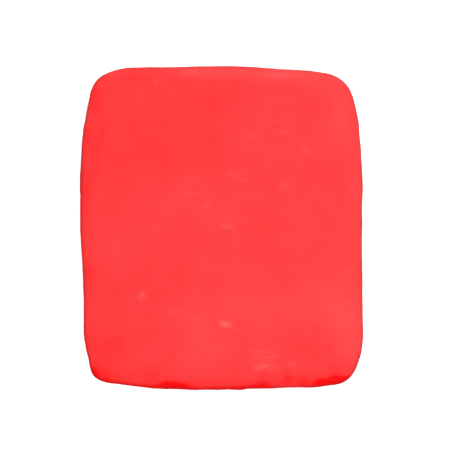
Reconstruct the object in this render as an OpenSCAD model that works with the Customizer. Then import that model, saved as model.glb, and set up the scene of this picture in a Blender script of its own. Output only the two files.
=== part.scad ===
// Cue chalk cube: a pressed block of cue chalk with a paper label glued round its sides
// and a second label glued under its base. The chalk face on top is bare.
//
// Millimetres. +Z points up out of the chalk face, +X to the right side, +Y to the back side.
// The origin is the middle of the underside, on the surface that the cube stands on.

/* [Chalk block] */
// Width of the chalk at its widest level, from the left side to the right side
width = 22; // [18:0.5:26]
// Length of the chalk at its widest level, from the front side to the back side
length = 25.3; // [18:0.1:30]
// Overall height, from under the base label to the middle of the chalk face
height = 22; // [16:0.5:26]
// How far each side comes in between the widest level and the base
draft = 0.5; // [0:0.1:1]
// Radius of the rim round the chalk face
rim_r = 1.6; // [0.8:0.1:2.4]
// Rise of the chalk face from its rim to its middle
crown = 0.3; // [0.1:0.05:0.8]
// Radius of the edge round the base
foot_r = 0.4; // [0.2:0.1:1]

/* [Outline seen from above] */
// Radius of the bow in each side: right, back, left, front
side_bow = [315, 170, 115, 105]; // [60:5:400]
// Degrees that each side is turned anticlockwise off square: right, back, left, front
side_turn = [0.7, -1, 0.6, -0.3]; // [-3:0.1:3]
// Sharpness of each corner: back right, back left, front left, front right
corner_power = [8.5, 9, 16.5, 11.5]; // [6:0.5:24]

/* [Paper labels] */
// Thickness of the label paper
paper_t = 0.1; // [0.06:0.01:0.16]
// Thickness of the glue film under the paper
glue_t = 0.02; // [0.01:0.01:0.04]
// Height of bare chalk from the top of the side label to the middle of the chalk face
bare_h = 5; // [3.5:0.1:8]
// How far the side label laps over its own start, rounded up to a whole step of the outline
lap = 3.5; // [1:0.5:6]
// Bare margin from the base's rounded edge to the base label
base_margin = 0.5; // [0.2:0.1:2]

/* [Hidden] */

stations = 180;                    // steps round the outline
step_deg = 360 / stations;
arc_steps = 6;                     // steps in the arcs of the rim and of the base's edge
crown_steps = 4;                   // rings over the chalk face
flat_share = 0.15;                 // how much of the face's width is left flat in its middle

half = [width / 2, length / 2];
base_z = paper_t + glue_t;         // underside of the chalk
foot_z = base_z + foot_r;          // where the base's rounded edge ends
widest_z = height - crown - rim_r; // where the rim starts
label_top_z = height - bare_h;

// The face meets the rim at this slope, and the rim's arc stops there.
face_slope = atan(2 * crown / (half.x - rim_r));
rim_inset = rim_r * (1 - sin(face_slope));
rim_top_z = widest_z + rim_r * cos(face_slope);

// The side label starts this many steps round from the right side, at the middle of the back.
lap_start = 41;
lap_steps = ceil(lap / (half.y * tan(step_deg)));
// The strip rises over its own start within this many steps.
climb_steps = 2;

// Distance from the middle out to side i in the direction dir, with the side moved in by inset.
function side_reach(i, dir, inset) =
    let (bow = side_bow[i],
         centre = bow - half[i % 2],
         off = dir - 90 * i - side_turn[i])
    sqrt(pow(bow - inset, 2) - pow(centre * sin(off), 2)) - centre * cos(off);

// Distance from the middle out to the outline: its two nearest sides, blended at the corner.
function reach(dir, inset) =
    let (i = floor(dir / 90),
         n = corner_power[i],
         next_dir = i == 3 ? dir - 360 : dir)
    pow(pow(side_reach(i, dir, inset), -n)
        + pow(side_reach((i + 1) % 4, next_dir, inset), -n), -1 / n);

function raw_point(s, inset) =
    let (dir = step_deg * (s % stations))
    reach(dir, inset) * [cos(dir), sin(dir)];

// Turning the sides moves the outline a little, so it is brought back to its size and middle.
raw_outline = [for (s = [0 : stations - 1]) raw_point(s, 0)];
low = [min([for (p = raw_outline) p.x]), min([for (p = raw_outline) p.y])];
high = [max([for (p = raw_outline) p.x]), max([for (p = raw_outline) p.y])];

function outline_point(s, inset) =
    let (p = raw_point(s, inset) - (low + high) / 2)
    [p.x * width / (high.x - low.x), p.y * length / (high.y - low.y)];

function ring(inset, z, share = 1) =
    [for (s = [0 : stations - 1])
        let (p = outline_point(s, inset))
        [p.x * share, p.y * share, z]];

foot_rings = [for (k = [0 : arc_steps])
    let (a = 90 * k / arc_steps)
    ring(draft + foot_r * (1 - sin(a)), base_z + foot_r * (1 - cos(a)))];

rim_rings = [for (k = [0 : arc_steps])
    let (a = (90 - face_slope) * k / arc_steps)
    ring(rim_r * (1 - cos(a)), widest_z + rim_r * sin(a))];

crown_rings = [for (k = [1 : crown_steps])
    let (share = 1 - (1 - flat_share) * k / crown_steps,
         rise = (1 - pow(share, 2)) / (1 - pow(flat_share, 2)))
    ring(rim_inset, rim_top_z + rise * (height - rim_top_z), share)];

// A closed solid through a stack of sections, each with the same number of points.
module loft(sections) {
    n = len(sections[0]);
    last = len(sections) - 1;
    walls = [for (k = [0 : last - 1], s = [0 : n - 1])
        let (a = k * n + s, b = k * n + (s + 1) % n)
        each [[a, a + n, b], [b, a + n, b + n]]];
    first_cap = [for (s = [0 : n - 1]) s];
    last_cap = [for (s = [n - 1 : -1 : 0]) last * n + s];
    polyhedron([for (section = sections) each section], concat(walls, [first_cap, last_cap]));
}

module chalk_block() {
    color([0.99, 0.26, 0.27])
    loft(concat(foot_rings, rim_rings, crown_rings));
}

// How far the side has come in at height z.
function side_inset(z) = draft * (widest_z - z) / (widest_z - foot_z);

// The side label's strip cut across at station s, lifted off the side by lift.
function strip_section(s, lift) =
    [for (corner = [[0, foot_z], [0, label_top_z], [paper_t, label_top_z], [paper_t, foot_z]])
        let (p = outline_point(s, side_inset(corner[1]) - lift - corner[0]))
        [p.x, p.y, corner[1]]];

// The strip lies on its glue, and climbs by one more paper and glue before it meets its start.
function strip_lift(k) =
    let (climbed = (k - (stations - 1 - climb_steps)) / climb_steps)
    glue_t + (paper_t + glue_t) * max(0, min(1, climbed));

module side_label() {
    color([0.75, 0.07, 0.08])
    loft([for (k = [0 : stations + lap_steps]) strip_section(lap_start + k, strip_lift(k))]);
}

module base_label() {
    color([0.75, 0.07, 0.08])
    linear_extrude(paper_t)
    polygon([for (p = ring(draft + foot_r + base_margin, 0)) [p.x, p.y]]);
}

chalk_block();
side_label();
base_label();
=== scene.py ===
"""The looks of the cue chalk cube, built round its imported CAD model.

Shapes are worked out in millimetres in the CAD frame: +Z up out of the chalk face, +X right, +Y back.
"""

from math import pi, radians

import bpy
import numpy as np
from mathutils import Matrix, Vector, noise


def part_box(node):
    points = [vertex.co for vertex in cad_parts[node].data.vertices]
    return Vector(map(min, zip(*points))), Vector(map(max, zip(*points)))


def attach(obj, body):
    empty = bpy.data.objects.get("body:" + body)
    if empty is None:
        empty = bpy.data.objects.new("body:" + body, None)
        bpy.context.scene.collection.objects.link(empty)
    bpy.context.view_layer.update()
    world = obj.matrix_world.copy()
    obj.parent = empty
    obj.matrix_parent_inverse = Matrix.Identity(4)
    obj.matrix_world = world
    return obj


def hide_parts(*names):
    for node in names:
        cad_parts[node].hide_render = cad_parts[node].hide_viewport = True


MM = 0.001

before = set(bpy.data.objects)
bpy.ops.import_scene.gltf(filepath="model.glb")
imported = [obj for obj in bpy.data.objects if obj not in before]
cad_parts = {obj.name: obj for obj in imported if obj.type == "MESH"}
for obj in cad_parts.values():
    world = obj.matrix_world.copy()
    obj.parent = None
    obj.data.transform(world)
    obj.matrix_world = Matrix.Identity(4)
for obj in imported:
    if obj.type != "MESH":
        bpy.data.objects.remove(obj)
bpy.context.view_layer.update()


def cad_box_mm(node):
    return [np.array(corner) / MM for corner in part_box(node)]


# ---------------------------------------------------------------- the CAD model's dimensions

DRAFT = 0.5          # how far each side comes in from the widest level to the base
RIM_R = 1.6          # radius of the rim round the chalk face
CROWN = 0.3          # rise of the chalk face from its rim to its middle
FOOT_R = 0.4         # radius of the edge round the base
GLUE_T = 0.02        # glue film under the paper
BASE_MARGIN = 0.5    # bare margin round the base label
SEAM_START, SEAM_END = radians(82), radians(98)    # where the side label starts and ends

# Right, back, left and front side: the radius that it bows out to, and its turn off square.
BOW = np.array([315, 170, 115, 105])
TURN = np.radians([0.7, -1.0, 0.6, -0.3])
# Sharpness of the back right, back left, front left and front right corners.
SHARPNESS = np.array([8.5, 9.0, 16.5, 11.5])

block_low, block_high = cad_box_mm("chalk_block")
PAPER_T = cad_box_mm("base_label")[1][2] - cad_box_mm("base_label")[0][2]
LABEL_TOP_Z = cad_box_mm("side_label")[1][2]
BASE_Z = block_low[2]
TOP_Z = block_high[2]
FOOT_Z = BASE_Z + FOOT_R
WIDEST_Z = TOP_Z - CROWN - RIM_R
HALF = (block_high - block_low)[:2] / 2
FACE_SLOPE = np.arctan(2 * CROWN / (HALF[0] - RIM_R))
RIM_INSET = RIM_R * (1 - np.sin(FACE_SLOPE))
RIM_TOP_Z = WIDEST_Z + RIM_R * np.cos(FACE_SLOPE)

# ---------------------------------------------------------------- outline seen from above


def ramp(value, low, high):
    """0 at low and beyond it, 1 at high and beyond it, and smooth between. Low may be the greater."""
    share = np.clip((value - low) / (high - low), 0, 1)
    return share * share * (3 - 2 * share)


def heading(points):
    """The direction of each point from the middle, seen from above."""
    return np.arctan2(points[:, 1], points[:, 0])


def side_reach(side, direction, inset):
    """Distance from the middle out to a side that is moved in by inset."""
    centre = BOW[side] - HALF[side % 2]
    off = direction - side * pi / 2 - TURN[side]
    return np.sqrt((BOW[side] - inset) ** 2 - (centre * np.sin(off)) ** 2) - centre * np.cos(off)


def raw_outline(direction, inset):
    """The outline's two nearest sides, blended at the corner between them."""
    turned = direction % (2 * pi)
    side = (turned // (pi / 2)).astype(int) % 4
    beyond = turned - np.where(side == 3, 2 * pi, 0)
    power = SHARPNESS[side]
    reach = (side_reach(side, turned, inset) ** -power
             + side_reach((side + 1) % 4, beyond, inset) ** -power) ** (-1 / power)
    return reach[:, None] * np.stack([np.cos(direction), np.sin(direction)], 1)


SAMPLES_A_TURN = 3600
SAMPLES_A_SIDE = 1500
whole = raw_outline(np.linspace(0, 2 * pi, SAMPLES_A_TURN + 1), 0)
RAW_MIDDLE = (whole.min(0) + whole.max(0)) / 2
RAW_HALF = (whole.max(0) - whole.min(0)) / 2


def outline(direction, inset):
    """The outline moved in by inset, fitted to the CAD block's width and length."""
    return (raw_outline(direction, inset) - RAW_MIDDLE) * HALF / RAW_HALF


def outline_reach(direction, inset):
    """Distance from the middle out to that outline."""
    return np.linalg.norm(outline(direction, inset), axis=1)


def side_inset(z):
    """How far the side has come in at height z."""
    return DRAFT * (WIDEST_Z - z) / (WIDEST_Z - FOOT_Z)


# The directions of the corners, once round from the front right one and back to it.
CORNER = np.arctan2(HALF[1], HALF[0])
CORNERS = [-CORNER, CORNER, pi - CORNER, pi + CORNER, 2 * pi - CORNER]

# ---------------------------------------------------------------- meshes


def path_length(points):
    """Length along a line of points, up to each of them."""
    return np.r_[0, np.cumsum(np.linalg.norm(np.diff(points, axis=0), axis=1))]


def stations(columns, rows):
    """Directions of points spaced evenly along each side, round from the front right corner."""
    directions = []
    for start, end, count in zip(CORNERS, CORNERS[1:], (rows, columns, rows, columns)):
        fine = np.linspace(start, end, SAMPLES_A_SIDE)
        run = path_length(outline(fine, 0))
        directions.append(np.interp(np.arange(count) / count * run[-1], run, fine))
    return np.concatenate(directions)


def fill(border, columns, rows):
    """A grid of points inside a closed border that starts at its front right corner."""
    turn = np.vstack([border, border[:1]])
    right = turn[:rows + 1]
    back = turn[rows:rows + columns + 1][::-1]
    left = turn[rows + columns:2 * rows + columns + 1][::-1]
    front = turn[2 * rows + columns:]
    u = np.linspace(0, 1, columns + 1)[:, None, None]
    v = np.linspace(0, 1, rows + 1)[None, :, None]
    return ((1 - v) * front[:, None] + v * back[:, None] + (1 - u) * left[None] + u * right[None]
            - (1 - u) * (1 - v) * front[0] - u * (1 - v) * front[-1]
            - (1 - u) * v * back[0] - u * v * back[-1])


def fill_ids(columns, rows, ring_start, inner_start):
    """Vertex numbers of that grid: its border is a ring of points, and the rest are new."""
    ids = np.zeros((columns + 1, rows + 1), int)
    count = 2 * (columns + rows)
    ring = np.append(np.arange(count), 0) + ring_start
    ids[columns, :] = ring[:rows + 1]
    ids[:, rows] = ring[rows:rows + columns + 1][::-1]
    ids[0, :] = ring[rows + columns:2 * rows + columns + 1][::-1]
    ids[:, 0] = ring[2 * rows + columns:]
    inner = (columns - 1) * (rows - 1)
    ids[1:-1, 1:-1] = np.arange(inner_start, inner_start + inner).reshape(columns - 1, rows - 1)
    return ids


def grid_faces(ids):
    """The square faces of a grid of vertex numbers."""
    quads = np.stack([ids[:-1, :-1], ids[1:, :-1], ids[1:, 1:], ids[:-1, 1:]], -1)
    return quads.reshape(-1, 4).tolist()


def wall_faces(ring_count, count):
    """The faces between closed rings of count points, each ring numbered on from the one before."""
    turn = np.append(np.arange(count), 0)
    return grid_faces(np.stack([turn + k * count for k in range(ring_count)], 1))


def with_z(points, z):
    return np.hstack([points, np.broadcast_to(np.reshape(z, (-1, 1)), (len(points), 1))])


def new_piece(name, points, faces, node):
    """A mesh piece in place of a CAD node. Points are in millimetres."""
    mesh = bpy.data.meshes.new(name)
    mesh.from_pydata((points * MM).tolist(), [], faces)
    mesh.polygons.foreach_set("use_smooth", [True] * len(mesh.polygons))
    piece = bpy.data.objects.new(name, mesh)
    bpy.context.scene.collection.objects.link(piece)
    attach(piece, "root")
    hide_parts(node)
    return piece


def mesh_normals(mesh):
    normals = np.zeros(len(mesh.vertices) * 3)
    mesh.vertices.foreach_get("normal", normals)
    return normals.reshape(-1, 3)


def set_points(mesh, points):
    mesh.vertices.foreach_set("co", (points * MM).ravel())
    mesh.update()


def store(mesh, name, values):
    """A value for each point, which a material reads by its name."""
    mesh.attributes.new(name, "FLOAT", "POINT").data.foreach_set("value", values)


def lumps(points, size):
    """Smooth noise, from about -1 to 1, whose lumps are about size millimetres across."""
    return np.array([noise.fractal(Vector(p), 1.0, 2.0, 2) for p in points / size])


# ---------------------------------------------------------------- marks, wear, and painted light and shade of the chalk

# Marks on the chalk face: x, y, length, width, turn in degrees, depth, and how pale it is.
# A pale mark is scraped chalk with a painted highlight, and one below zero is a pit with painted shade.
MARKS = [
    (-6.07, -5.16, 0.60, 0.50, 40, 0.04, 0.28), (-6.00, -4.50, 0.50, 0.30, 60, 0.02, -0.15),
    (0.33, -7.37, 0.85, 0.46, -3, 0.05, 0.44), (-0.30, -7.60, 0.40, 0.30, -12, 0.03, -0.20),
    (1.38, -7.72, 0.70, 0.34, -10, 0.02, 0.07), (2.85, -9.50, 2.40, 0.28, -4, 0.02, 0.12),
    (1.75, -9.35, 0.30, 0.25, 0, 0.02, -0.15), (3.60, -9.92, 2.10, 0.28, 5, 0.02, 0.11),
    (3.08, -10.69, 1.05, 0.50, 22, 0.04, 0.27), (4.00, -10.60, 0.90, 0.45, 10, 0.02, 0.10),
    (3.35, -11.35, 0.75, 0.42, 0, 0.03, -0.28), (5.45, -10.42, 0.80, 0.42, -8, 0.03, 0.17),
    (5.00, -10.10, 0.60, 0.40, -30, 0.02, -0.10), (-2.80, 3.16, 0.42, 0.36, 0, 0.02, 0.10),
    (-2.36, 2.66, 1.20, 0.28, -3, 0.02, 0.12), (-2.84, 2.94, 0.36, 0.24, 0, 0.02, -0.12),
    (-1.12, 1.78, 0.58, 0.56, 0, 0.02, 0.11), (-1.20, 1.40, 0.45, 0.26, 0, 0.02, -0.10),
    (0.44, 0.16, 0.90, 0.44, 3, 0.02, 0.17), (0.05, -0.25, 0.80, 0.30, 0, 0.01, -0.08),
    (0.95, 4.15, 1.20, 0.55, -5, 0.02, 0.06), (1.82, 3.82, 0.90, 0.30, -14, 0.02, 0.08),
    (2.40, 3.56, 0.35, 0.26, 0, 0.02, -0.12), (4.87, 3.23, 0.76, 0.72, 0, 0.02, 0.08),
    (-1.80, -2.90, 0.35, 0.30, 0, 0.02, -0.08), (4.80, 7.44, 1.20, 0.34, -8, 0.02, 0.09),
    (4.38, 7.82, 0.50, 0.30, -10, 0.02, -0.10), (2.32, 7.06, 1.10, 0.55, -5, 0.01, 0.06),
    (6.53, 5.99, 0.90, 0.56, -10, 0.02, 0.11), (-5.05, 11.34, 0.60, 0.36, -50, 0.02, 0.09),
    (-3.65, -6.40, 1.30, 0.45, -28, 0.02, 0.08), (-2.05, -6.90, 1.70, 0.50, -20, 0.02, 0.08),
    (-2.95, -6.30, 0.40, 0.35, -20, 0.02, 0.06), (-3.05, -6.72, 0.45, 0.30, 0, 0.02, -0.08),
    (-8.20, -4.90, 1.00, 0.30, -60, 0.03, -0.20), (-3.86, -9.58, 1.00, 0.60, -60, 0.03, -0.22),
    (9.80, -5.25, 0.90, 0.75, 0, 0.02, -0.13), (-9.25, 7.62, 0.40, 0.80, 5, 0.02, -0.16),
    (-6.85, 11.72, 2.20, 0.40, -4, 0.03, -0.24), (-7.90, -8.80, 1.50, 1.10, 0, 0.02, -0.12),
    (-4.30, 11.76, 2.20, 0.30, -2, 0.02, -0.08), (4.60, 11.93, 2.80, 0.30, -2, 0.01, 0.13),
    (-2.76, 6.94, 0.50, 0.45, 0, 0.02, -0.08), (-1.30, -0.45, 0.35, 0.35, 0, 0.01, 0.05),
    (9.60, -2.30, 0.80, 0.70, 0, 0.02, -0.13), (9.95, -3.20, 1.00, 0.50, 0, 0.01, 0.05),
]

# Patches with more or less powder, and painted light and shade: x, y, half width, half length, and how
# much. Some follow the powder's own mottling; the others are painted light, lighter to the right, lower
# right and back rim, and painted shade, darker to the upper left and along the left and front rims.
POWDER_AND_SHADING_PATCHES = [
    (9.7, -7.4, 1.9, 3.0, 0.36), (-1.7, -8.2, 1.2, 2.0, 0.16), (0.8, -6.2, 2.4, 1.4, 0.06),
    (9.0, 7.8, 1.5, 2.2, 0.28), (10.2, 10.8, 1.2, 1.2, 0.16), (9.8, -0.2, 1.6, 1.6, 0.10),
    (4.8, -6.4, 3.4, 1.7, 0.17), (-1.5, 1.8, 2.8, 1.8, 0.12), (0.4, 6.2, 1.6, 1.2, 0.08),
    (5.2, 12.1, 3.4, 0.7, 0.45), (-1.0, 12.2, 3.2, 0.6, 0.40), (-10.6, 9.2, 0.6, 1.2, 0.35),
    (-4.5, 7.5, 6.5, 4.2, -0.24), (-10.0, 5.2, 1.1, 3.6, -0.10), (-10.7, 1.6, 0.6, 2.2, -0.16),
    (-4.6, -2.8, 4.4, 2.4, -0.12), (-8.8, -4.5, 1.5, 1.4, -0.14), (-8.6, -9.6, 2.4, 2.2, -0.20),
    (-5.8, -11.1, 2.2, 0.8, -0.20), (-9.4, -11.5, 1.2, 0.8, -0.36), (7.2, -9.1, 2.2, 1.5, -0.24),
    (9.2, -11.0, 1.5, 0.8, -0.26), (0.0, -11.2, 6.0, 0.8, -0.10), (0.0, -12.4, 12.0, 0.7, -0.35),
    (0.0, -12.7, 7.5, 0.25, -0.60), (10.7, 3.8, 0.9, 3.4, 0.20), (10.3, -9.4, 1.0, 1.0, 0.16),
    (1.6, -3.6, 2.0, 1.4, 0.11), (7.2, -4.6, 1.6, 2.0, 0.12), (-3.0, -5.8, 1.2, 0.8, 0.08),
    (-6.8, 1.0, 1.9, 1.4, -0.13), (-8.9, 9.8, 1.2, 1.7, -0.12), (-10.4, 7.4, 0.6, 0.8, -0.26),
    (-2.2, 4.9, 1.7, 0.9, -0.09), (7.0, 8.4, 1.4, 2.0, -0.09), (0.3, 9.6, 2.0, 1.2, -0.08),
    (-4.6, 11.6, 2.6, 0.7, -0.09), (-2.3, 12.1, 0.7, 0.4, 0.25), (-9.5, 10.5, 0.6, 0.5, -0.28),
    (-8.4, 12.0, 0.9, 0.3, 0.22), (-9.8, 8.8, 0.9, 0.8, -0.07), (-9.7, 6.4, 0.4, 0.5, -0.10),
    (-8.1, -9.2, 1.0, 0.7, -0.12), (4.5, -12.1, 0.7, 0.5, -0.16), (7.0, -12.1, 0.5, 0.4, 0.12),
    (-9.0, 6.4, 1.0, 1.8, -0.07), (-11.0, 3.0, 0.3, 3.5, -0.20), (-10.3, 3.4, 0.3, 0.8, -0.12),
    (-5.3, -11.6, 0.5, 0.6, -0.13), (-0.7, 6.9, 0.9, 0.4, -0.07),
]

# Hollows broken or pressed into the rim: x, y, half width, half depth across the rim, depth.
CHIPS = [
    (8.30, -12.00, 0.90, 0.40, 0.12), (9.20, -11.80, 0.80, 0.36, 0.12), (-3.65, -12.23, 0.95, 0.30, 0.13),
    (5.10, -11.60, 0.45, 0.45, 0.03), (6.45, -11.95, 0.55, 0.40, 0.03), (3.25, -12.05, 0.45, 0.35, 0.03),
    (2.30, -12.40, 0.90, 0.25, 0.06), (-5.80, -12.30, 0.80, 0.20, 0.04), (0.20, -12.50, 1.80, 0.20, 0.05),
    (-8.70, -11.85, 0.80, 0.30, 0.03), (-9.80, -11.20, 0.30, 0.50, 0.04), (-9.90, 9.60, 0.40, 0.80, 0.02),
    (-10.20, -3.40, 0.35, 0.60, 0.02), (-7.70, -12.15, 0.90, 0.18, 0.04),
]

# The outline's own swells and dents: direction in degrees, spread in degrees, and outward reach.
SWELLS = [
    (200, 12, -0.16), (155, 10, 0.10), (138, 5, -0.25), (105, 9, -0.10), (66, 12, -0.10), (54, 6, 0.09),
    (42, 4, -0.06), (20, 12, 0.10), (322, 5, 0.15), (313, 4, -0.12), (309, 3, 0.12), (289, 11, -0.15),
    (268, 8, -0.04), (237, 7, -0.15), (229, 2, 0.08), (224.5, 1.5, -0.06), (218, 3, 0.08), (165, 6, 0.05),
]

# A crease along the left of the face, beyond which the rim bends down early.
CREASE_Y = [1.0, 2.6, 3.8, 4.6, 6.2, 8.2, 9.4]
CREASE_X = [-10.6, -10.35, -10.05, -9.55, -9.35, -9.0, -9.2]
CREASE_DROP = 0.10
CREASE_BEND = 0.4            # how far left of the crease the whole drop is reached
CREASE_HALF_WIDTH = 0.22     # of the line along it that is painted darker, as painted shade
CREASE_SHADE = 0.12         # painted shade: how far the powder value drops along that line

RAGGED = 0.16                # how far a break's border wanders
RAGGED_SIZE = 0.9            # and how long its wanderings are
CHIP_CLEANS_AND_SHADE = 16             # how much powder a millimetre of broken rim takes away, as bare chalk and as painted shade along the front rim
SIDE_SHADE_DROP = 0.47           # painted shade: how far the powder value drops on the sides, on average round the block
LIT_SIDE_DIRECTION = radians(50)     # painted light: the direction in which the sides are painted the lightest
LIT_SIDE_GAIN = 0.45      # how much lighter they are painted there than on average
LOW_SHARE = 0.75             # how much of this painted light and shade is left well below the rim

# Lumps all over the bare chalk: size, height, and how many times more of them the sides have.
LUMPS = [(6.0, 0.06, 0.0), (1.7, 0.016, 1.2), (0.45, 0.005, 1.2)]


def spot(points, x, y, half_x, half_y):
    """1 in the middle of a soft spot, fading to 0 round it."""
    return np.exp(-((points[:, 0] - x) / half_x) ** 2 - ((points[:, 1] - y) / half_y) ** 2)


def local_to(points, x, y, turn):
    """Points seen from a mark's own middle and direction."""
    across, up = points[:, 0] - x, points[:, 1] - y
    cosine, sine = np.cos(radians(turn)), np.sin(radians(turn))
    return cosine * across + sine * up, cosine * up - sine * across


def marks(points, facing_up):
    """Relief of the marks on the chalk face, each with a low lip along one side, and how pale they are."""
    relief, pale = np.zeros(len(points)), np.zeros(len(points))
    for x, y, length, width, turn, depth, paleness in MARKS:
        along, across = local_to(points, x, y, turn)
        spread = np.exp(-(2 * along / length) ** 2 - (2 * across / width) ** 2)
        lip = np.exp(-(2 * along / length) ** 2 - ((across - 0.9 * width) * 3 / width) ** 2)
        relief += facing_up * depth * (0.3 * lip - spread)
        pale += facing_up * paleness * spread
    return relief, pale


def broken(points):
    """How deep the rim is broken away. The breaks have ragged borders."""
    wander = np.stack([lumps(points, RAGGED_SIZE), lumps(points + 50, RAGGED_SIZE)], 1)
    ragged = points[:, :2] + RAGGED * wander
    return sum(depth * spot(ragged, x, y, half_x, half_y) for x, y, half_x, half_y, depth in CHIPS)


def crease(points):
    """How far each point is to the left of the crease, and the crease's strength there."""
    y = points[:, 1]
    strength = ramp(y, CREASE_Y[0], CREASE_Y[2]) * (1 - ramp(y, CREASE_Y[4], CREASE_Y[6]))
    return np.interp(y, CREASE_Y, CREASE_X) - points[:, 0], strength


def rim_relief(points):
    """The broken parts of the rim, and the crease along the left of the face."""
    left_of_crease, strength = crease(points)
    return -broken(points) - CREASE_DROP * strength * ramp(left_of_crease, 0, CREASE_BEND)


def swell(points):
    """How far the outline stands out of or into its plain shape, by direction."""
    direction = np.degrees(heading(points))
    return sum(reach * np.exp(-(((direction - middle + 180) % 360 - 180) / spread) ** 2)
               for middle, spread, reach in SWELLS)


def side_share(points):
    """0 on the chalk face and 1 on the sides below its rim."""
    return 1 - ramp(points[:, 2], WIDEST_Z + 0.2, WIDEST_Z + 1.1)


def powder_and_shading(points):
    """How much powder lies on the chalk, with painted light and shade in it: about 1 on its face, and less
    on its sides and its breaks.
    """
    z = points[:, 2]
    left_of_crease, crease_strength = crease(points)
    # Breaks lose powder: bare chalk, and painted shade along the front rim.
    patches = -CHIP_CLEANS_AND_SHADE * broken(points)
    # Painted shade along the crease.
    patches -= CREASE_SHADE * crease_strength * np.exp(-(left_of_crease / CREASE_HALF_WIDTH) ** 2)
    # Patches of powder mottling, and of painted light and shade across the face and along the rims.
    for x, y, half_x, half_y, change in POWDER_AND_SHADING_PATCHES:
        patches += change * spot(points, x, y, half_x, half_y)
    # Painted shade on the sides, with painted light on the sides toward the back right.
    toward_lit_side = np.cos(heading(points) - LIT_SIDE_DIRECTION)
    near_rim = LOW_SHARE + (1 - LOW_SHARE) * ramp(z, WIDEST_Z - 2.2, WIDEST_Z + 0.2)
    return (1 + patches * ramp(z, WIDEST_Z - 0.3, WIDEST_Z + 0.6)
            - (SIDE_SHADE_DROP - LIT_SIDE_GAIN * toward_lit_side) * near_rim * side_share(points))


# ---------------------------------------------------------------- chalk block

FACE_COLUMNS, FACE_ROWS = 168, 194     # cells across the chalk face, and from its front to its back


def chalk_levels():
    """The block's rings from under the base up to the face: how far each is moved in, and its height."""
    # Rings lie about 0.15 mm apart where the chalk shows, and far apart where the label covers it.
    covered_z = LABEL_TOP_Z - 0.4
    covered = np.linspace(FOOT_Z, covered_z, 14)[1:]
    bare = np.linspace(covered_z, WIDEST_Z, 22)[1:]
    foot_angles = np.linspace(0, pi / 2, 7)
    rim_angles = np.linspace(0, pi / 2 - FACE_SLOPE, 19)[1:]

    base_inset = DRAFT + FOOT_R
    levels = [(base_inset + 0.6, BASE_Z), (base_inset + 0.2, BASE_Z)]
    levels += [(DRAFT + FOOT_R * (1 - np.sin(angle)), BASE_Z + FOOT_R * (1 - np.cos(angle)))
               for angle in foot_angles]
    levels += [(side_inset(z), z) for z in np.r_[covered, bare]]
    levels += [(RIM_R * (1 - np.cos(angle)), WIDEST_Z + RIM_R * np.sin(angle)) for angle in rim_angles]
    return levels


def chalk_face(border):
    """Points of the gently crowned face, inside the last ring of the rim."""
    inner = fill(border, FACE_COLUMNS, FACE_ROWS)[1:-1, 1:-1].reshape(-1, 2)
    share = np.linalg.norm(inner, axis=1) / outline_reach(heading(inner), RIM_INSET)
    return with_z(inner, RIM_TOP_Z + (TOP_Z - RIM_TOP_Z) * (1 - share ** 2))


def wear_chalk(mesh, points):
    """Lumps, marks and breaks on the bare chalk, and the values that its material reads, painted light and
    shade among them.
    """
    normals = mesh_normals(mesh)
    z = points[:, 2]
    bare_share = ramp(z, LABEL_TOP_Z - 0.1, LABEL_TOP_Z + 0.8)
    facing_up = ramp(normals[:, 2], 0.3, 0.8) * (z > WIDEST_Z)
    mark_relief, pale = marks(points, facing_up)
    side = side_share(points)
    height = sum(depth * (1 + more * side) * lumps(points, size) for size, depth, more in LUMPS)
    height = bare_share * (height + mark_relief + rim_relief(points) * (z > WIDEST_Z - 0.6))

    reach = np.linalg.norm(points[:, :2], axis=1)
    rim_share = ramp(reach / outline_reach(heading(points), 0), 0.8, 0.97)
    outward = points[:, :2] / reach[:, None] * (bare_share * rim_share * swell(points))[:, None]

    points = points + normals * height[:, None]
    points[:, :2] += outward
    set_points(mesh, points)
    store(mesh, "pale", pale)
    # The powder value also holds the painted light and shade.
    store(mesh, "powder_and_shading", powder_and_shading(points))
    store(mesh, "side", side_share(points))


def chalk_block():
    directions = stations(FACE_COLUMNS, FACE_ROWS)
    count = len(directions)
    rings = [with_z(outline(directions, inset), z) for inset, z in chalk_levels()]
    points = np.vstack(rings + [chalk_face(rings[-1][:, :2])])
    last_ring = (len(rings) - 1) * count
    faces = wall_faces(len(rings), count)
    faces += grid_faces(fill_ids(FACE_COLUMNS, FACE_ROWS, last_ring, last_ring + count))
    faces.append(list(range(count))[::-1])
    piece = new_piece("chalk", points, faces, "chalk_block")
    wear_chalk(piece.data, points)
    return piece


# ---------------------------------------------------------------- paper labels

STRIP_COLUMNS, STRIP_ROWS, STRIP_LEVELS = 150, 172, 44         # cells along two sides, and levels
LAP_START, LAP_END = SEAM_START + 2 * pi, SEAM_END + 2 * pi    # once round, over the strip's start
LOOSE_LIFT = 0.05            # how far the lap's lower corner has come away
SIDE_WAVE = 0.022            # how uneven the side label's outside is
TOP_WAVE = 0.03              # how far its upper edge dips
BASE_COLUMNS, BASE_ROWS = 56, 64
BASE_WAVE = 0.02             # how far the base label's underside is hollowed

FINE_ROUND = np.linspace(-CORNER, 4 * pi - CORNER, 2 * SAMPLES_A_TURN + 1)
FINE_RUN = path_length(outline(FINE_ROUND, 0))


def run_at(direction):
    """Length along the outline up to a direction."""
    return np.interp(direction, FINE_ROUND, FINE_RUN)


def strip_directions():
    """Directions of the strip's stations: from its start, once round, and on over its lap."""
    round_once = stations(STRIP_COLUMNS, STRIP_ROWS)
    first = np.argmin(abs(round_once - SEAM_START))
    last = len(round_once) + np.argmin(abs(round_once - SEAM_END))
    return np.append(round_once, round_once + 2 * pi)[first:last + 1]


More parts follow.
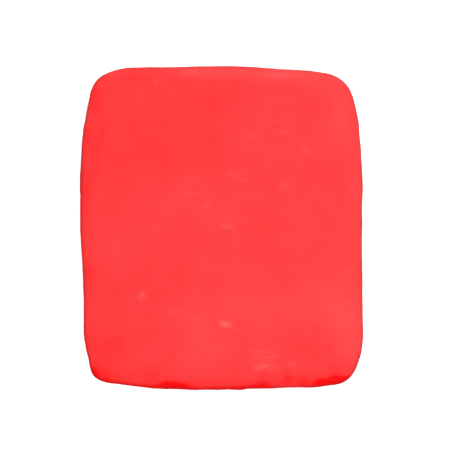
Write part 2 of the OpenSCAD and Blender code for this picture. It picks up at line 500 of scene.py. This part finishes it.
def strip_layer(directions, z, thickness):
    """The strip's points at height z, on its inside or, with its thickness, on its outside."""
    climbed = ramp(directions, LAP_START - radians(6), LAP_START - radians(2))
    loose = ramp(directions, LAP_END - radians(5), LAP_END)
    lift = GLUE_T + (PAPER_T + GLUE_T) * climbed + LOOSE_LIFT * loose * ramp(z, FOOT_Z + 5, FOOT_Z + 1)
    return with_z(outline(directions, side_inset(z) - lift - thickness), z)


def strip_outside(directions, z):
    """The outside of the strip at height z, slightly wavy."""
    ring = strip_layer(directions, z, PAPER_T)
    wave = np.clip(0.5 + 0.5 * lumps(ring * [1, 1, 0.35], 3.5), 0, 1)
    ring[:, :2] *= 1 + SIDE_WAVE * wave[:, None] / np.linalg.norm(ring[:, :2], axis=1)[:, None]
    if z == LABEL_TOP_Z:
        ring[:, 2] -= TOP_WAVE * wave
    return ring


def face_corners(mesh):
    """The vertex at each corner of each face, where each face's corners start, and how many it has."""
    vertices, starts = np.zeros(len(mesh.loops), int), np.zeros(len(mesh.polygons), int)
    mesh.loops.foreach_get("vertex_index", vertices)
    mesh.polygons.foreach_get("loop_start", starts)
    return vertices, starts, np.diff(np.append(starts, len(vertices)))


def lay_print(mesh, directions, points, around):
    """A map in millimetres for the print: along from the middle of each side, and up.

    The print lies by each side's own middle, so a face takes the side that it is on.
    """
    vertices, starts, totals = face_corners(mesh)
    station = vertices // around
    column = np.repeat(np.minimum.reduceat(station, starts), totals)
    middle = (directions[column] + directions[np.minimum(column + 1, len(directions) - 1)]) / 2
    turns = np.floor((middle + CORNER) / (2 * pi))
    side = np.searchsorted(CORNERS[1:4], middle - turns * 2 * pi)
    along = run_at(directions[station]) - run_at(side * pi / 2 + turns * 2 * pi)
    print_map = np.stack([along, points[vertices, 2]], 1)
    mesh.uv_layers.new(name="print").data.foreach_set("uv", print_map.ravel())


def bare_the_core(mesh, around):
    """The strip's second material, on its back, its upper and lower edges and its two cut ends."""
    vertices, starts, totals = face_corners(mesh)
    inside_foot, inside_top, outside_top, outside_foot = 0, 1, 2, around - 1
    unprinted = np.isin(vertices % around, (inside_foot, inside_top, outside_top, outside_foot))
    core = np.logical_and.reduceat(unprinted, starts) | (totals > 4)
    mesh.polygons.foreach_set("material_index", core.astype(int))


def side_label():
    """A strip of paper round the four sides. Its end laps over its start, and lifts a little."""
    directions = strip_directions()
    downwards = np.linspace(FOOT_Z, LABEL_TOP_Z, STRIP_LEVELS)[::-1]
    inside = [strip_layer(directions, z, 0) for z in (FOOT_Z, LABEL_TOP_Z)]
    outside = [strip_outside(directions, z) for z in downwards]
    sections = np.stack(inside + outside, 1)
    around = sections.shape[1]
    points = sections.reshape(-1, 3)
    ids = np.arange(len(points)).reshape(-1, around)
    faces = grid_faces(np.hstack([ids, ids[:, :1]]).T)
    faces += [ids[0, ::-1].tolist(), ids[-1].tolist()]
    piece = new_piece("side_paper", points, faces, "side_label")

    lay_print(piece.data, directions, points, around)
    bare_the_core(piece.data, around)
    corner_runs = run_at(np.array(CORNERS + [c + 2 * pi for c in CORNERS]))
    to_corner = abs(run_at(directions)[:, None] - corner_runs).min(1)
    store(piece.data, "to_corner", np.repeat(to_corner, around))
    return piece


def base_label():
    """A flat piece of paper under the base, with a slightly uneven underside."""
    directions = stations(BASE_COLUMNS, BASE_ROWS)
    count = len(directions)
    edge = DRAFT + FOOT_R + BASE_MARGIN
    levels = [(edge + 0.25, 0), (edge + 0.03, 0), (edge, 0.03)]
    levels += [(edge, PAPER_T - 0.02), (edge + 0.02, PAPER_T)]
    rings = [with_z(outline(directions, inset), z) for inset, z in levels]
    inner = fill(rings[0][:, :2], BASE_COLUMNS, BASE_ROWS)[1:-1, 1:-1].reshape(-1, 2)
    to_edge = outline_reach(heading(inner), edge) - np.linalg.norm(inner, axis=1)
    inner = with_z(inner, 0)
    inner[:, 2] = BASE_WAVE * ramp(to_edge, 0.3, 1.5) * np.clip(0.4 + lumps(inner, 3.0), 0, 1)

    points = np.vstack(rings + [inner])
    last_ring = (len(rings) - 1) * count
    faces = wall_faces(len(rings), count)
    faces += grid_faces(fill_ids(BASE_COLUMNS, BASE_ROWS, 0, last_ring + count)[::-1])
    faces.append(list(range(last_ring, last_ring + count)))
    piece = new_piece("base_paper", points, faces, "base_label")
    store(piece.data, "to_edge", np.r_[np.zeros(last_ring + count), to_edge])
    return piece


# ---------------------------------------------------------------- materials


def add(tree, kind, inputs=None, **settings):
    """A shader node. An input is a value, or another node's output to link."""
    node = tree.nodes.new("ShaderNode" + kind)
    for name, value in settings.items():
        setattr(node, name, value)
    for name, value in (inputs or {}).items():
        if isinstance(value, bpy.types.NodeSocket):
            tree.links.new(value, node.inputs[name])
        else:
            node.inputs[name].default_value = value
    return node


def new_material(name):
    """A material, its nodes, its shader, and the place on the object that textures go by."""
    made = bpy.data.materials.new(name)
    made.use_nodes = True
    tree = made.node_tree
    return made, tree, tree.nodes["Principled BSDF"], add(tree, "TexCoord").outputs["Object"]


def grain(tree, where, size, detail=2.0):
    """Noise with lumps of about size millimetres."""
    settings = {"Vector": where, "Scale": 1 / (size * MM), "Detail": detail}
    return add(tree, "TexNoise", settings).outputs["Fac"]


def stored(tree, name):
    """A value that the mesh holds for each point."""
    return add(tree, "Attribute", attribute_name=name).outputs["Fac"]


def calc(tree, operation, a, b=0.0):
    return add(tree, "Math", {0: a, 1: b}, operation=operation).outputs[0]


def plus(tree, a, b):
    return calc(tree, "ADD", a, b)


def times(tree, a, b):
    return calc(tree, "MULTIPLY", a, b)


def between(tree, value, low, high, to_low=0.0, to_high=1.0):
    """The value's range from low to high, spread smoothly from to_low to to_high."""
    settings = {"Value": value, "From Min": low, "From Max": high, "To Min": to_low, "To Max": to_high}
    return add(tree, "MapRange", settings, interpolation_type="SMOOTHSTEP").outputs[0]


def mix(tree, share, first, second, blend="MIX"):
    inputs = {0: share, 6: first, 7: second}
    return add(tree, "Mix", inputs, data_type="RGBA", blend_type=blend).outputs[2]


def bump(tree, shader, layers):
    """Fine relief from several heights, each with its depth in millimetres."""
    normal = None
    for height, depth in layers:
        inputs = {"Height": height, "Distance": depth * MM, "Strength": 1.0}
        if normal:
            inputs["Normal"] = normal
        normal = add(tree, "Bump", inputs).outputs[0]
    tree.links.new(normal, shader.inputs["Normal"])


RED_DEEP = (0.97, 0.0012, 0.002, 1)     # solid chalk, with no powder on it, and the deep end of the painted shade
RED_POWDER_AND_LIGHT = (0.95, 0.089, 0.0925, 1)    # under the thickest powder, and the pale end of the painted light
FULLEST_POWDER_AND_LIGHT = 2                          # the value of powder and painted light at which the colour is the palest
# Pale scraped chalk, also the painted highlights of the marks, and the chalk dust on the paper.
RED_SCRAPED_AND_HIGHLIGHT = (0.96, 0.18, 0.16, 1)
# Painted shade in the pits beside the marks.
RED_PIT_SHADE = (0.80, 0.008, 0.010, 1)
SIDE_SHADE_TINT = (0.64, 0.85, 0.85, 1)       # painted shade: how much of each colour the sides keep


def scuffs(tree, where):
    """Level scuffs and coarse grain, as the pressed sides have."""
    level = add(tree, "Mapping", {"Vector": where, "Scale": (0.3, 0.3, 2.0)}).outputs[0]
    scuffed = between(tree, grain(tree, level, 0.7, 3), 0.48, 0.78, 0, 0.4)
    coarse = between(tree, grain(tree, where, 0.16, 3), 0.34, 0.66, -0.30, 0.30)
    return plus(tree, scuffed, coarse)


def chalk_material():
    """Deep red under a layer of powder, which varies in mottles and grains, with its marks, and with
    painted light and shade on its face, rims and sides.
    """
    made, tree, shader, where = new_material("chalk")
    mottle = plus(tree, times(tree, grain(tree, where, 5.0), 0.6),
                  times(tree, grain(tree, where, 1.6), 0.4))
    powder = grain(tree, where, 0.30, 4)
    side = stored(tree, "side")

    powder_and_shading = plus(tree, stored(tree, "powder_and_shading"), between(tree, mottle, 0.32, 0.68, -0.09, 0.09))
    powder_and_shading = plus(tree, powder_and_shading, between(tree, powder, 0.35, 0.75, -0.03, 0.05))
    powder_and_shading = plus(tree, powder_and_shading, times(tree, side, scuffs(tree, where)))
    # Deep red where the value is low, as bare chalk and as painted shade, and paler where it is high, as
    # powder and as painted light.
    colour = mix(tree, times(tree, powder_and_shading, 1 / FULLEST_POWDER_AND_LIGHT), RED_DEEP, RED_POWDER_AND_LIGHT)
    # Painted shade: the sides are darker.
    colour = mix(tree, side, colour, SIDE_SHADE_TINT, "MULTIPLY")

    # Pale marks are scraped chalk with painted highlights, and marks below zero are pits with painted
    # shade.
    pale = times(tree, stored(tree, "pale"), between(tree, grain(tree, where, 0.2), 0.35, 0.65, 0.6, 1.4))
    colour = mix(tree, pale, colour, RED_SCRAPED_AND_HIGHLIGHT)
    colour = mix(tree, times(tree, pale, -1), colour, RED_PIT_SHADE)
    tree.links.new(colour, shader.inputs["Base Color"])
    tree.links.new(between(tree, mottle, 0.3, 0.7, 0.85, 0.72), shader.inputs["Roughness"])
    shader.inputs["Specular IOR Level"].default_value = 0.03
    bump(tree, shader, [(powder, 0.03), (grain(tree, where, 0.09), 0.010)])
    return made


PRINT_RED = (0.44, 0.010, 0.013, 1)
PRINT_SHADE = (0.35, 0.005, 0.008, 1)
PRINT_CREAM = (0.80, 0.70, 0.52, 1)
RUBBED_PRINT = (0.62, 0.27, 0.23, 1)
BARE_PAPER = (0.72, 0.60, 0.52, 1)
DUSTY_PAPER = (0.62, 0.34, 0.30, 1)

# The print, in millimetres: lines by how far in from the edge they are, and half their width.
SIDE_LINE, SIDE_LINE_HALF = 1.2, 0.22
BASE_LINE, BASE_LINE_HALF = 1.3, 0.2
# Diamonds by half their width and half their height.
LARGE_DIAMOND = (2.1, 3.4)
SMALL_DIAMOND = (0.9, 1.5)
BASE_DIAMOND = (2.4, 3.6)
DIAMOND_PITCH = 5.4          # from the large diamond's middle to each small one's
RAGGED_INK = 0.03            # how far the print's borders wander


def line(tree, value, middle, half_width):
    """1 on a line of that half width, and 0 off it."""
    distance = calc(tree, "ABSOLUTE", calc(tree, "SUBTRACT", value, middle))
    return calc(tree, "LESS_THAN", distance, half_width)


def diamond(tree, across, up, half_width, half_height):
    """1 in a diamond, and 0 outside it."""
    reach = plus(tree, calc(tree, "DIVIDE", calc(tree, "ABSOLUTE", across), half_width),
                 calc(tree, "DIVIDE", calc(tree, "ABSOLUTE", up), half_height))
    return calc(tree, "LESS_THAN", reach, 1.0)


def finish_paper(tree, shader, where, inked, worn, below_chalk=0.0):
    """Colour, gloss and relief of printed paper, with its fibres, rubbed edges and chalk dust."""
    fibre = grain(tree, where, 0.25, 4)
    cloud = grain(tree, where, 2.2, 3)
    shade = mix(tree, between(tree, cloud, 0.35, 0.7), PRINT_SHADE, PRINT_RED)
    colour = mix(tree, inked, shade, PRINT_CREAM)

    # The print is rubbed away where it is worn, unevenly.
    wear = plus(tree, times(tree, fibre, 0.45), times(tree, cloud, 0.6))
    rubbed = between(tree, plus(tree, worn, wear), 0.95, 1.35, 0, 0.8)
    colour = mix(tree, rubbed, colour, RUBBED_PRINT)

    # Chalk dust lies in a few clouds, and has fallen just below the chalk.
    dust = between(tree, plus(tree, cloud, times(tree, fibre, 0.25)), 0.66, 0.95, 0, 0.25)
    fallen = times(tree, below_chalk, between(tree, fibre, 0.3, 0.7, 0.05, 0.35))
    dust = plus(tree, dust, fallen)
    colour = mix(tree, dust, colour, RED_SCRAPED_AND_HIGHLIGHT)
    tree.links.new(colour, shader.inputs["Base Color"])

    dull = plus(tree, between(tree, fibre, 0.3, 0.7, 0.40, 0.52), times(tree, rubbed, 0.3))
    tree.links.new(plus(tree, dull, times(tree, dust, 0.6)), shader.inputs["Roughness"])
    shader.inputs["Specular IOR Level"].default_value = 0.18
    bump(tree, shader, [(cloud, 0.03), (fibre, 0.008), (rubbed, -0.01)])


def side_paper_material():
    """Two cream lines and three cream diamonds on each side, worn at the corners and edges."""
    made, tree, shader, where = new_material("side_paper")
    place = add(tree, "SeparateXYZ", {0: add(tree, "UVMap", uv_map="print").outputs[0]}).outputs
    wander = [between(tree, grain(tree, where, size), 0.3, 0.7, -RAGGED_INK, RAGGED_INK)
              for size in (0.12, 0.17)]
    along = plus(tree, place[0], wander[0])
    z = plus(tree, place[1], wander[1])
    up = calc(tree, "SUBTRACT", z, (FOOT_Z + LABEL_TOP_Z) / 2)
    beside = calc(tree, "SUBTRACT", calc(tree, "ABSOLUTE", along), DIAMOND_PITCH)
    inked = calc(tree, "MAXIMUM", line(tree, z, LABEL_TOP_Z - SIDE_LINE, SIDE_LINE_HALF),
                 line(tree, z, FOOT_Z + SIDE_LINE, SIDE_LINE_HALF))
    inked = calc(tree, "MAXIMUM", inked, diamond(tree, along, up, *LARGE_DIAMOND))
    inked = calc(tree, "MAXIMUM", inked, diamond(tree, beside, up, *SMALL_DIAMOND))

    near_edge = calc(tree, "MAXIMUM", between(tree, z, LABEL_TOP_Z - 0.35, LABEL_TOP_Z),
                     between(tree, z, FOOT_Z + 0.35, FOOT_Z))
    worn = calc(tree, "MAXIMUM", between(tree, stored(tree, "to_corner"), 1.2, 0.0, 0, 0.58),
                times(tree, near_edge, 0.62))
    below_chalk = between(tree, z, LABEL_TOP_Z - 2.5, LABEL_TOP_Z)
    finish_paper(tree, shader, where, inked, worn, below_chalk)
    return made


def base_paper_material():
    """A cream line round a cream diamond, worn along the edge."""
    made, tree, shader, where = new_material("base_paper")
    place = add(tree, "SeparateXYZ", {0: where}).outputs
    to_edge = stored(tree, "to_edge")
    half_width, half_height = BASE_DIAMOND
    inked = calc(tree, "MAXIMUM", line(tree, to_edge, BASE_LINE, BASE_LINE_HALF),
                 diamond(tree, place[0], place[1], half_width * MM, half_height * MM))
    finish_paper(tree, shader, where, inked, between(tree, to_edge, 0.7, 0.0, 0, 0.62))
    return made


def paper_core_material():
    """The paper's bare back and its cut edge."""
    made, tree, shader, where = new_material("paper_core")
    fibre = grain(tree, where, 0.2, 3)
    tree.links.new(mix(tree, fibre, BARE_PAPER, DUSTY_PAPER), shader.inputs["Base Color"])
    tree.links.new(between(tree, fibre, 0.3, 0.7, 0.75, 0.9), shader.inputs["Roughness"])
    bump(tree, shader, [(fibre, 0.01)])
    return made


# ---------------------------------------------------------------- floor, light and camera

FLOOR_HALF = 1.5             # metres
CAMERA_HEIGHT = 194.5        # above the widest level
CAMERA_X, CAMERA_Y = 0.31, 0.27


def floor():
    """A white floor that glows a little, as in a light tent."""
    mesh = bpy.data.meshes.new("floor")
    corners = [(x * FLOOR_HALF, y * FLOOR_HALF, 0) for x, y in ((-1, -1), (1, -1), (1, 1), (-1, 1))]
    mesh.from_pydata(corners, [], [(0, 1, 2, 3)])
    made = bpy.data.objects.new("floor", mesh)
    bpy.context.scene.collection.objects.link(made)
    material, _, shader, _ = new_material("floor")
    shader.inputs["Base Color"].default_value = (0.95, 0.95, 0.95, 1)
    shader.inputs["Roughness"].default_value = 0.9
    shader.inputs["Emission Color"].default_value = (1, 1, 1, 1)
    shader.inputs["Emission Strength"].default_value = 0.45
    mesh.materials.append(material)


def soft_light(name, place, size, power):
    """A round light that faces the object. Place and size are in metres."""
    light = bpy.data.lights.new(name, "AREA")
    light.shape = "DISK"
    light.size = size
    light.energy = power
    made = bpy.data.objects.new(name, light)
    bpy.context.scene.collection.objects.link(made)
    made.location = place
    made.rotation_euler = (-Vector(place)).to_track_quat("-Z", "Y").to_euler()


def studio():
    """Even white light from all round, and the plain view of colours."""
    scene = bpy.context.scene
    scene.view_settings.view_transform = "Standard"
    scene.world = bpy.data.worlds.new("studio")
    scene.world.use_nodes = True
    background = scene.world.node_tree.nodes["Background"]
    background.inputs["Color"].default_value = (1, 1, 1, 1)
    background.inputs["Strength"].default_value = 0.3


def camera():
    """Straight down on the chalk face, with the back side at the top of the picture."""
    data = bpy.data.cameras.new("camera")
    data.lens = 200
    data.clip_start = 0.01
    data.clip_end = 10
    made = bpy.data.objects.new("camera", data)
    bpy.context.scene.collection.objects.link(made)
    made.location = (CAMERA_X * MM, CAMERA_Y * MM, (WIDEST_Z + CAMERA_HEIGHT) * MM)
    bpy.context.scene.camera = made


chalk_block().data.materials.append(chalk_material())
side_paper = side_label()
side_paper.data.materials.append(side_paper_material())
side_paper.data.materials.append(paper_core_material())
base_label().data.materials.append(base_paper_material())

floor()
camera()
soft_light("overhead", place=(0.03, 0.02, 0.55), size=0.5, power=3.05)
soft_light("back", place=(0.12, 0.60, 0.30), size=0.4, power=0.8)
studio()
